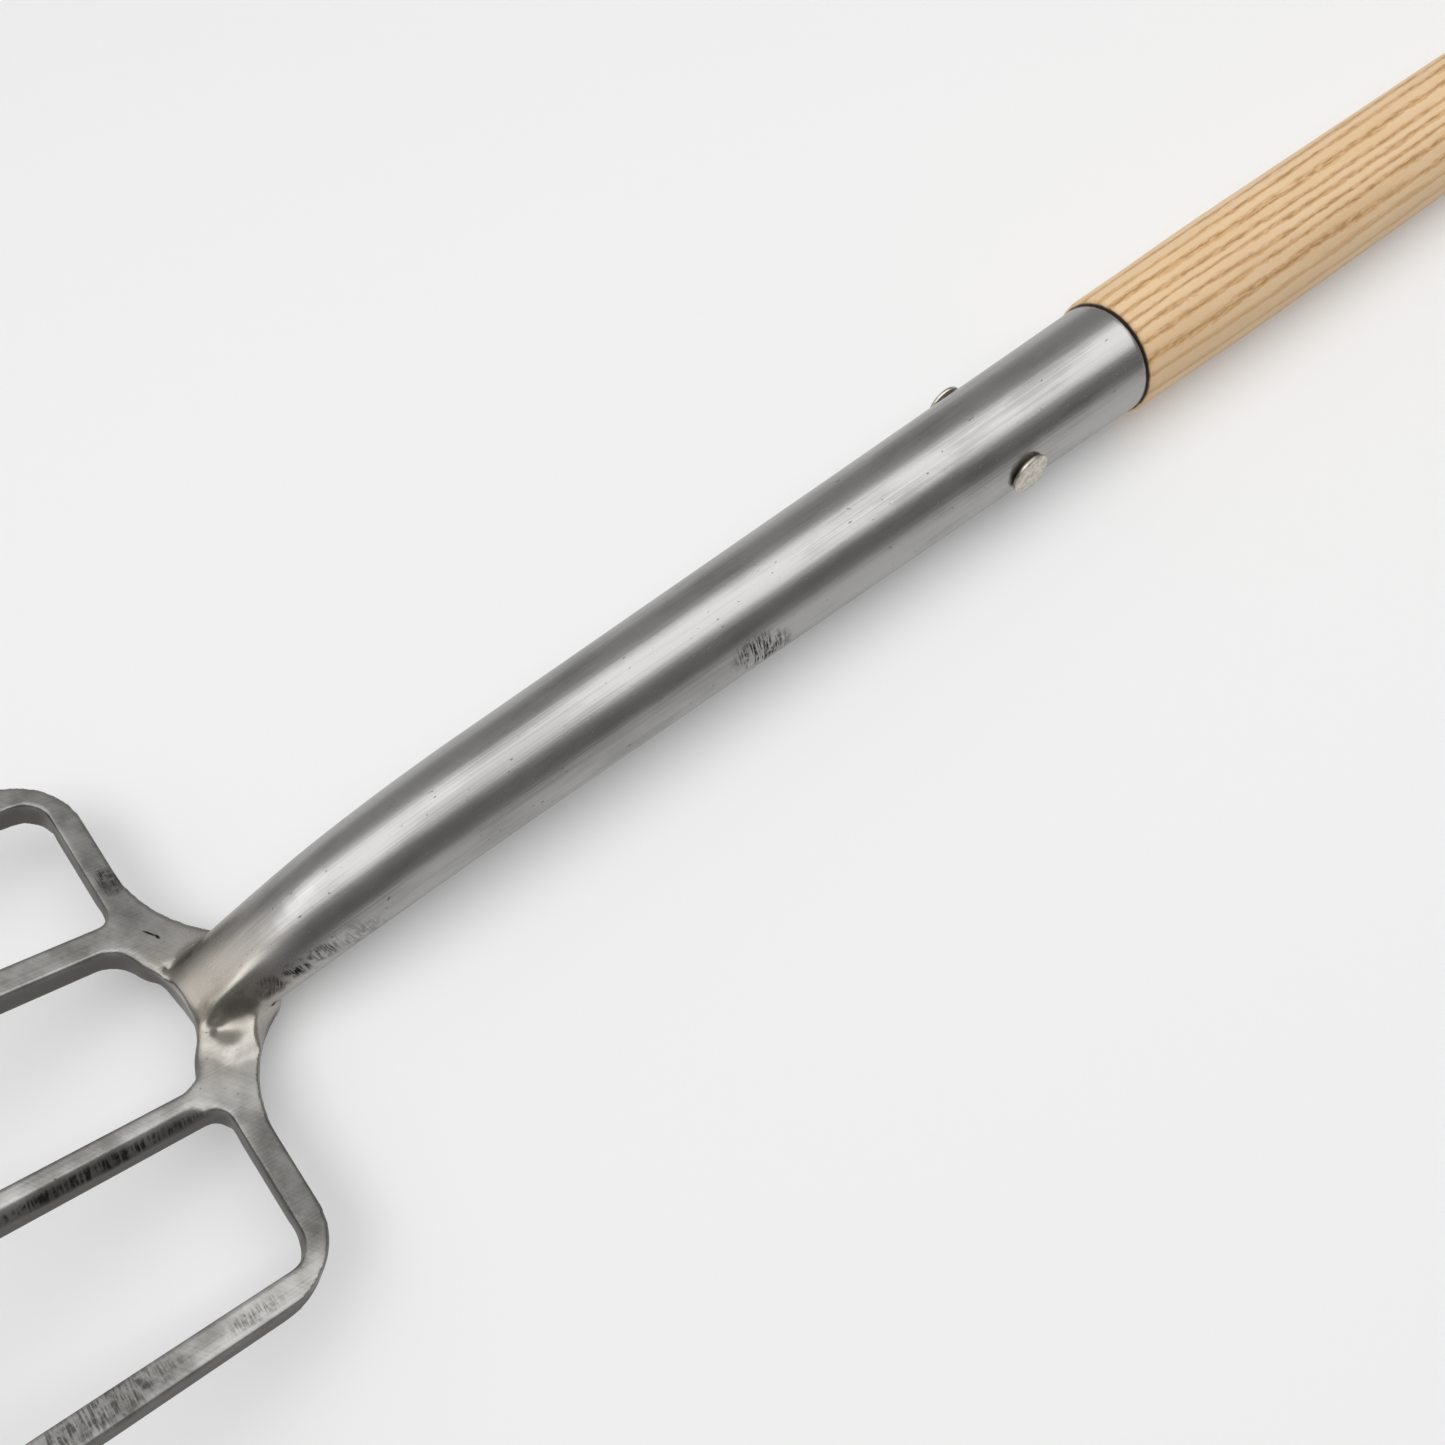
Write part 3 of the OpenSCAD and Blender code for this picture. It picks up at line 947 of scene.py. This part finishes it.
    def neck(self) -> Object:
        """The solid neck with its round heel and the arch between the inner tines.

        Returns:
            The neck, on the tines' bench.
        """
        start = self.lap - self.cone_len
        rings = [Station(start, self.cone(start))]
        rings += [self.axis(i / self.neck_rings) for i in range(self.neck_rings + 1)]
        end = rings[-1]
        for i in range(1, self.heel_rings + 1):
            a = radians(self.heel_turn * i / self.heel_rings)
            run = end.r * sin(a)
            rings.append(
                Station(end.x - run * cos(end.dip), end.r * cos(a), end.z - run * sin(end.dip), end.dip)
            )
        piece = turned("neck_blank", rings, self.turns)
        self.press(piece)
        piece.data.transform(TINES.to_row.inverted() @ HANDLE.to_row)
        put_down()
        lean = self.arch_deep * tan(self.arch_lean)
        bpy.ops.mesh.primitive_cone_add(
            vertices=128, radius1=self.arch_r + lean, radius2=self.arch_r - lean,
            depth=2 * self.arch_deep, location=(self.arch_x - self.arch_r, 0, 0),
        )
        cut(piece, bpy.context.object)
        return piece

    def bead(self) -> Object:
        """The weld that fills the corner between the neck and the right inner tine.

        Returns:
            The bead, on the tines' bench.
        """
        put_down()
        bpy.ops.mesh.primitive_uv_sphere_add(
            segments=48, ring_count=24, radius=1.0,
            location=self.bead_middle, rotation=(0, 0, self.bead_turn),
        )
        piece = bpy.context.object
        piece.scale = self.bead_reach
        bpy.ops.object.transform_apply()
        return piece

    def bevelled(self, piece: Object) -> None:
        """Takes the outer upper edge off the right inner tine, where a hammer blow has flattened it.

        Args:
            piece: The tine, on the tines' bench.
        """
        high, low = Vector((0, *self.bevel_from)), Vector((0, *self.bevel_to))
        slant = (low - high).normalized()
        out = Vector((0, slant.z, -slant.y))
        block = 20.0
        start, end = self.bevel_run
        middle = (high + low) / 2 + out * block / 2 + Vector(((start + end) / 2, 0, 0))
        put_down()
        tip = atan2(slant.z, slant.y)
        bpy.ops.mesh.primitive_cube_add(size=block, location=middle, rotation=(tip, 0, 0))
        cutter = bpy.context.object
        cutter.scale.x = (end - start) / block
        bpy.ops.object.transform_apply()
        cut(piece, cutter)

    def rub(self, piece: Object, place: Rub) -> None:
        """Smooths the crown at one place.

        Args:
            piece: The crown, on the tines' bench.
            place: The place.
        """
        group = piece.vertex_groups.new(name="rub")
        middle = Vector(place.middle)
        for point in piece.data.vertices:
            far = (point.co - middle).length / place.reach
            if far < 1:
                group.add([point.index], (1 - far * far) ** 1.5, "REPLACE")
        sanded(piece, place.strokes, "rub")
        piece.vertex_groups.clear()

    def push(self, piece: Object, place: Push) -> None:
        """Moves the crown's surface along one line.

        Args:
            piece: The crown, on the tines' bench.
            place: The line and its move.
        """
        middle, move = Vector(place.line[0]), Vector(place.move)
        furthest = place.reach + max((Vector(stop) - middle).length for stop in place.line)
        for point in piece.data.vertices:
            if (point.co - middle).length < furthest:
                point.co += move * place.share(point.co)

    def crown(self) -> Object:
        """The neck and the tines run together, with every inside corner filled by the weld.

        Returns:
            The crown, on the tines' bench.
        """
        tines = [copy_of(node, TINES) for node in self.nodes[1:]]
        self.bevelled(tines[2])
        piece = joined("crown_blank", self.neck(), self.bead(), *tines)
        modify(piece, "REMESH", mode="VOXEL", voxel_size=self.voxel)
        sanded(piece, self.soften)
        for place in self.rubs:
            self.rub(piece, place)
        for place in (self.hollow, self.ridge, self.bulge):
            self.push(piece, place)
        self.rub(piece, self.last_rub)
        group = piece.vertex_groups.new(name="points")
        for point in piece.data.vertices:
            if point.co.x < self.keep_fine:
                group.add([point.index], eased((self.keep_fine - point.co.x) / self.fade), "REPLACE")
        sanded(piece, self.filed, "points")
        # Each square of the remeshed crown counts as two triangles.
        ratio = self.faces / (2 * len(piece.data.polygons))
        modify(piece, "DECIMATE", ratio=ratio, vertex_group="points", vertex_group_factor=1000.0)
        sanded(piece, self.soften, "points")
        piece.vertex_groups.clear()
        return piece

    def socket(self) -> Object:
        """The straight part of the socket: outside, lip and the bore as far as the wood hides it.

        Returns:
            The socket, on the handle's bench.
        """
        # The first ring lies 1 mm past the seam, where the socket is trimmed later.
        start, end = self.seam - 1 - self.cone_len, self.lip_run[0]
        places = [start + (end - start) * i / self.cone_rings for i in range(self.cone_rings + 1)]
        rings = [Station(x, self.cone(x)) for x in (*places, self.lip_run[1])]
        rings += [Station(x, self.mouth_r - inside) for x, inside in self.lip]
        rings.append(Station(-self.bore_seen, self.cone(-self.bore_seen) - self.wall))
        return turned("socket_blank", rings, self.turns)

    def polish(self, piece: Object) -> None:
        """Marks what was ground bright: the socket and every upper face, but not the tines' sides.

        Args:
            piece: The head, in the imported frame.
        """
        facing = TINES.to_row.to_3x3().normalized() @ Vector((0, 0, 1))
        back = TINES.to_row.inverted()
        shares = []
        for point in piece.data.vertices:
            place = back @ point.co
            up = ramp(point.normal.dot(facing), *self.ground_up)
            raised = ramp(place.z, *self.ground_z) if place.x > self.ground_x else 0.0
            near, far = self.neck_edge
            edge = near + (far - near) * eased(ramp(abs(place.y), *self.neck_side))
            shares.append(max(up, raised, ramp(place.x, edge, edge + self.neck_fade)))
        ends = np.empty(2 * len(piece.data.edges), dtype=int)
        piece.data.edges.foreach_get("vertices", ends)
        here = np.concatenate((ends[::2], ends[1::2]))
        there = np.concatenate((ends[1::2], ends[::2]))
        links = 1 + np.bincount(here, minlength=len(shares))
        for _ in range(self.feather):
            shares = (shares + np.bincount(here, np.take(shares, there), len(shares))) / links
        ground = piece.data.attributes.new(Trace.GROUND.value, "FLOAT", "POINT")
        ground.data.foreach_set("value", shares)

    def unroll(self, piece: Object) -> None:
        """Keeps each point's place along and round the socket, so that grinding lines follow its bend.

        Args:
            piece: The head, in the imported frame.
        """
        hub = Vector((-self.cone_len, 0, -self.swing))
        back = HANDLE.to_row.inverted()
        rolled = piece.data.attributes.new(Trace.ROLLED.value, "FLOAT_VECTOR", "POINT")
        for point, value in zip(piece.data.vertices, rolled.data):
            x, y, z = back @ point.co
            if x < -self.cone_len:
                dip = atan2(hub.x - x, z - hub.z)
                z = sqrt((x - hub.x) ** 2 + (z - hub.z) ** 2) - self.swing
                x = hub.x - self.swing * dip
            turn = atan2(z, y)
            value.vector = (x, self.neck_r * cos(turn), self.neck_r * sin(turn))

    def build(self) -> Object:
        """Builds the head.

        Returns:
            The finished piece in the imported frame.
        """
        crown = self.crown()
        crown.data.transform(HANDLE.to_row.inverted() @ TINES.to_row)
        trimmed(crown, -self.cone_len, 1)
        socket = self.socket()
        trimmed(socket, self.seam - self.cone_len, -1)
        piece = joined("welded_head", socket, crown)
        edit(piece, "EDGE")
        bpy.ops.mesh.select_all(action="DESELECT")
        bpy.ops.mesh.select_non_manifold(
            extend=False, use_wire=False, use_multi_face=False, use_non_contiguous=False, use_verts=False
        )
        bpy.ops.mesh.bridge_edge_loops()
        outward()
        HANDLE.lay(piece)
        smooth(piece, self.sharp)
        self.polish(piece)
        self.unroll(piece)
        return piece


@dataclass
class AshShaft(Part):
    """The shaft and the two arms of the D, shaped from one stave. Sizes in millimetres."""

    nodes: tuple[str, ...] = ("ash_shaft",)
    slot: Slot = Slot.ASH
    shoulder_r: float = 21.6
    swell_r: float = 22.5
    swell_start: float = 75.0
    swell_end: float = 195.0
    throat_r: float = 18.0
    length: float = 400.0
    plug_r: float = 17.35
    plug_taper: float = 0.4
    plug_seen: float = 30.0
    joint: float = 0.6
    shoulder_round: float = 1.2
    round_rings: int = 6
    clean_run: Pair = (2.0, 372.0)
    clean_rings: int = 60
    turns: int = 128
    bend_len: float = 92.0
    half_spread: float = 51.0
    half_arm: float = 8.0
    voxel: float = 1.3
    soften: int = 6

    def radius(self, x: float) -> float:
        """Radius of the shaft.

        Args:
            x: Distance from the socket's mouth.

        Returns:
            The radius there.
        """
        if x < self.swell_end:
            return self.shoulder_r + (self.swell_r - self.shoulder_r) * eased(x / self.swell_start)
        run = (x - self.swell_end) / (self.length - self.swell_end)
        return self.swell_r + (self.throat_r - self.swell_r) * eased(run)

    def mark_stave(self, piece: Object) -> None:
        """Keeps each point's place in the straight stave, before its split end was steamed and bent.

        Args:
            piece: The shaft, on the handle's bench.
        """
        straight = piece.data.attributes.new(Trace.STAVE.value, "FLOAT_VECTOR", "POINT")
        for point, value in zip(piece.data.vertices, straight.data):
            x, y, z = point.co
            swung = max(self.half_arm, self.half_spread * eased((x - self.length) / self.bend_len))
            value.vector = (x, copysign(1.0, y) * (abs(y) + self.half_arm - swung), z)

    def build(self) -> Object:
        """Builds the shaft.

        Returns:
            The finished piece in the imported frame.
        """
        rings = [Station(-self.plug_seen, self.plug_r - self.plug_taper), Station(self.joint, self.plug_r)]
        for i in range(self.round_rings + 1):
            a = radians(90 * i / self.round_rings)
            x, inside = (self.shoulder_round * (1 - share) for share in (cos(a), sin(a)))
            rings.append(Station(self.joint + x, self.shoulder_r - inside))
        start, end = self.clean_run
        for i in range(self.clean_rings + 1):
            x = start + (end - start) * i / self.clean_rings
            rings.append(Station(x, self.radius(x)))
        blank = turned("shaft_blank", rings, self.turns)
        piece = joined("ash_shaft_wood", blank, copy_of(self.nodes[0], HANDLE))
        modify(piece, "REMESH", mode="VOXEL", voxel_size=self.voxel)
        sanded(piece, self.soften)
        self.mark_stave(piece)
        HANDLE.lay(piece)
        smooth(piece)
        return piece


@dataclass
class Fitting(Part):
    """A round fitting that lies across the tool. Sizes in millimetres.

    Args:
        name: Name of the piece.
        nodes: The CAD node that it stands for.
        x: Place of its axis, from the socket's mouth.
        rings: Places across the tool and radii, in order.
        slot: Its material slot; not used.
        paired: Whether a second one sits on the other side; a paired fitting is a ring with a hole.
        tilt: Turn about the tool's axis.
        turns: Points round each ring.
        sharp: Angle in degrees past which an edge stays sharp.
    """

    name: str
    nodes: tuple[str, ...]
    x: float
    rings: tuple[Pair, ...]
    slot: Slot = Slot.RIVET_STEEL
    paired: bool = False
    tilt: float = 0.0
    turns: int = 72
    sharp: float = 40.0

    def build(self) -> Object:
        """Builds the fitting.

        Returns:
            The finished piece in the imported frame.
        """
        stations = [Station(y, r) for y, r in self.rings]
        piece = turned(self.name, stations, self.turns, not self.paired)
        piece.data.transform(Matrix.Rotation(pi / 2, 4, "Z"))
        if self.paired:
            other = bpy.data.objects.new(f"{self.name}_other", piece.data.copy())
            bpy.context.collection.objects.link(other)
            other.data.transform(Matrix.Rotation(pi, 4, "X"))
            piece = joined(self.name, piece, other)
        piece.data.transform(Matrix.Translation((self.x, 0, 0)) @ Matrix.Rotation(self.tilt, 4, "X"))
        HANDLE.lay(piece)
        smooth(piece, self.sharp)
        return piece


def mirrored(half: Sequence[Pair]) -> tuple[Pair, ...]:
    """The rings of both halves of a fitting, from those of the half with y above 0, outermost first."""
    return (*((-y, r) for y, r in half), *reversed(half))


def washer(low: float, high: float, hole: float, edge: float) -> tuple[Pair, ...]:
    """The rings of a washer with broken edges.

    Args:
        low: Where its inner face lies.
        high: Where its outer face lies.
        hole: Radius of the hole.
        edge: Outside radius.

    Returns:
        The rings, from the hole round the outside and back.
    """
    broken = 0.25
    return (
        (low, hole), (low, edge - broken), (low + broken, edge),
        (high - broken, edge), (high, edge - broken),
        (high, hole + broken), (high - broken, hole), (low, hole),
    )


GRIP_X = 524.0
THROAT_X = 391.0
# The grip's middle radius, how much thinner its ends are, and half its length.
GRIP_R, GRIP_FALL, GRIP_HALF = 15.0, 2.0, 43.75

SOCKET_RIVET = Fitting(
    "socket_rivet_hammered",
    ("socket_rivet",),
    -55.0,
    mirrored(
        ((21.3, 4.2), (21.25, 6.2), (21.1, 6.9), (20.85, 7.2), (20.4, 7.25))
        + ((19.9, 7.2), (19.7, 7.0), (19.4, 4.0))
    ),
    tilt=radians(-7),
)
GRIP_RIVET = Fitting(
    "grip_rivet_peened",
    ("grip_rivet",),
    GRIP_X,
    mirrored(((61.6, 1.4), (61.5, 2.6), (61.2, 3.6), (60.7, 4.4), (60.3, 4.75), (60.1, 4.7), (60.1, 3.0))),
)
THROAT_RIVET = Fitting(
    "throat_rivet_peened",
    ("throat_rivet",),
    THROAT_X,
    mirrored(
        ((19.93, 1.2), (19.83, 2.2), (19.5, 3.1), (19.0, 3.7), (18.65, 3.95), (18.44, 3.9), (18.44, 2.5))
    ),
)
GRIP_WASHERS = Fitting(
    "grip_washers_turned", ("grip_washers",), GRIP_X, washer(58.45, 60.05, 3.2, 8.5), paired=True
)
THROAT_WASHERS = Fitting(
    "throat_washers_turned", ("throat_washers",), THROAT_X, washer(16.79, 18.38, 2.7, 6.5), paired=True
)
HAND_GRIP = Fitting(
    "hand_grip_turned",
    ("hand_grip",),
    GRIP_X,
    mirrored(
        (
            (43.74, 12.3), (43.4, 12.85), (42.6, 13.1),
            *((y, GRIP_R - GRIP_FALL * (y / GRIP_HALF) ** 2) for y in range(40, 0, -4)),
        )
    ),
    Slot.GRIP_ASH,
)


# Studio


@dataclass(frozen=True)
class Softbox:
    """A rectangular lamp.

    Args:
        place: Its middle, in metres.
        turn: Its turn about X, Y and Z in degrees, from facing straight down.
        size: Its sides, in metres.
        radiance: Its brightness, where 1 is white.
    """

    place: Triple
    turn: Triple
    size: Pair
    radiance: float

    def hang(self) -> None:
        """Hangs the lamp."""
        turn = [radians(angle) for angle in self.turn]
        bpy.ops.object.light_add(type="AREA", location=self.place, rotation=turn)
        lamp = bpy.context.object.data
        lamp.shape = "RECTANGLE"
        lamp.size, lamp.size_y = self.size
        lamp.energy = self.radiance * pi * self.size[0] * self.size[1]


@dataclass(frozen=True)
class Studio:
    """White paper under a wide overhead softbox, with the camera where the photograph was taken."""

    focal_px: float = 1264.86
    frame_px: float = 1445.0
    sensor_mm: float = 36.0
    yaw: float = 0.877913625
    pitch: float = 1.13783082
    roll: float = 0.0237373071
    eye_mm: Triple = (-291.896558, -150.079544, 345.054249)
    paper_m: float = 40.0
    softboxes: tuple[Softbox, ...] = (
        # Overhead, for the broad highlight along the socket.
        Softbox((0.1, -0.02, 1.3), (0, 0, -12), (3.0, 1.4), 1.65),
        # On the left of the tines, for the light on their upper faces.
        Softbox((-1.6, 0.8, 1.25), (0, -52, -27), (1.2, 1.2), 0.72),
    )
    # The room's level on the camera's side and across from it, and where it changes.
    room: Pair = (0.2, 0.4)
    room_turn: Pair = (-0.8, 0.1)
    wall: float = 0.5
    wall_top: Pair = (0.03, 0.18)

    def camera(self) -> None:
        """Sets the camera at the photograph's viewpoint."""
        reach = cos(self.pitch)
        ahead = Vector((reach * cos(self.yaw), reach * sin(self.yaw), -sin(self.pitch)))
        level = Vector((sin(self.yaw), -cos(self.yaw), 0))
        above = level.cross(ahead)
        right = level * cos(self.roll) + above * sin(self.roll)
        up = -level * sin(self.roll) + above * cos(self.roll)
        look = Matrix((right, up, -ahead)).transposed().to_4x4()
        turn = HANDLE.to_row.to_3x3().normalized().to_4x4()
        bpy.ops.object.camera_add()
        camera = bpy.context.object
        eye = HANDLE.to_row @ Vector(self.eye_mm)
        camera.matrix_world = Matrix.Translation(eye) @ turn @ look
        camera.data.sensor_width = self.sensor_mm
        camera.data.lens = self.sensor_mm * self.focal_px / self.frame_px
        camera.data.clip_start = 0.01
        bpy.context.scene.camera = camera

    def floor(self) -> None:
        """Lays the paper under the fork."""
        put_down()
        bpy.ops.mesh.primitive_plane_add(size=self.paper_m, location=(0, 0, 0))
        paper = bpy.context.object
        paper.name = "paper"
        paper.data.materials.append(Paper().material())

    def lights(self) -> None:
        """Hangs the softboxes and sets the room: a pale wall low down, and darker on the camera's side."""
        for box in self.softboxes:
            box.hang()
        world = bpy.data.worlds.new("room")
        bpy.context.scene.world = world
        world.use_nodes = True
        tree = world.node_tree
        tree.nodes.clear()
        way = add(tree, "SeparateXYZ", None, add(tree, "TexCoord").outputs["Generated"]).outputs
        level = add(tree, "MapRange", SOFT, way["Y"], *self.room_turn, *self.room)
        wall = add(tree, "MapRange", SOFT, way["Z"], *self.wall_top, 1.0, 0.0)
        level = add(tree, "Mix", None, wall, level, self.wall)
        sky = add(tree, "Background", None, Color=(1, 1, 1, 1), Strength=level)
        add(tree, "OutputWorld", None, sky)

    def build(self) -> None:
        """Builds the studio."""
        self.camera()
        self.floor()
        self.lights()
        bpy.context.scene.view_settings.view_transform = "Standard"


def main() -> None:
    """Builds the fork piece by piece and the studio round it."""
    logging.basicConfig(level=logging.INFO, format="%(name)s: %(message)s")
    steel = GroundSteel().material()
    ash = Ash(straightened=Trace.STAVE.value).material()
    rivet = RivetSteel().material()
    turned_ash = Ash(
        "turned_ash", "#DDB989", "#C99E66", "#8A5B2C", across=(0.6, 0.0, 0.8), grain=1
    ).material()
    pieces = (
        (WeldedHead(), steel), (AshShaft(), ash), (SOCKET_RIVET, rivet), (HAND_GRIP, turned_ash),
        (GRIP_RIVET, rivet), (GRIP_WASHERS, rivet), (THROAT_RIVET, rivet), (THROAT_WASHERS, rivet),
    )
    for part, finish in pieces:
        piece = part.build()
        part.dress(piece, finish)
        LOG.info("%s: %d faces", piece.name, len(piece.data.polygons))
    Studio().build()


if __name__ == "__main__":
    main()
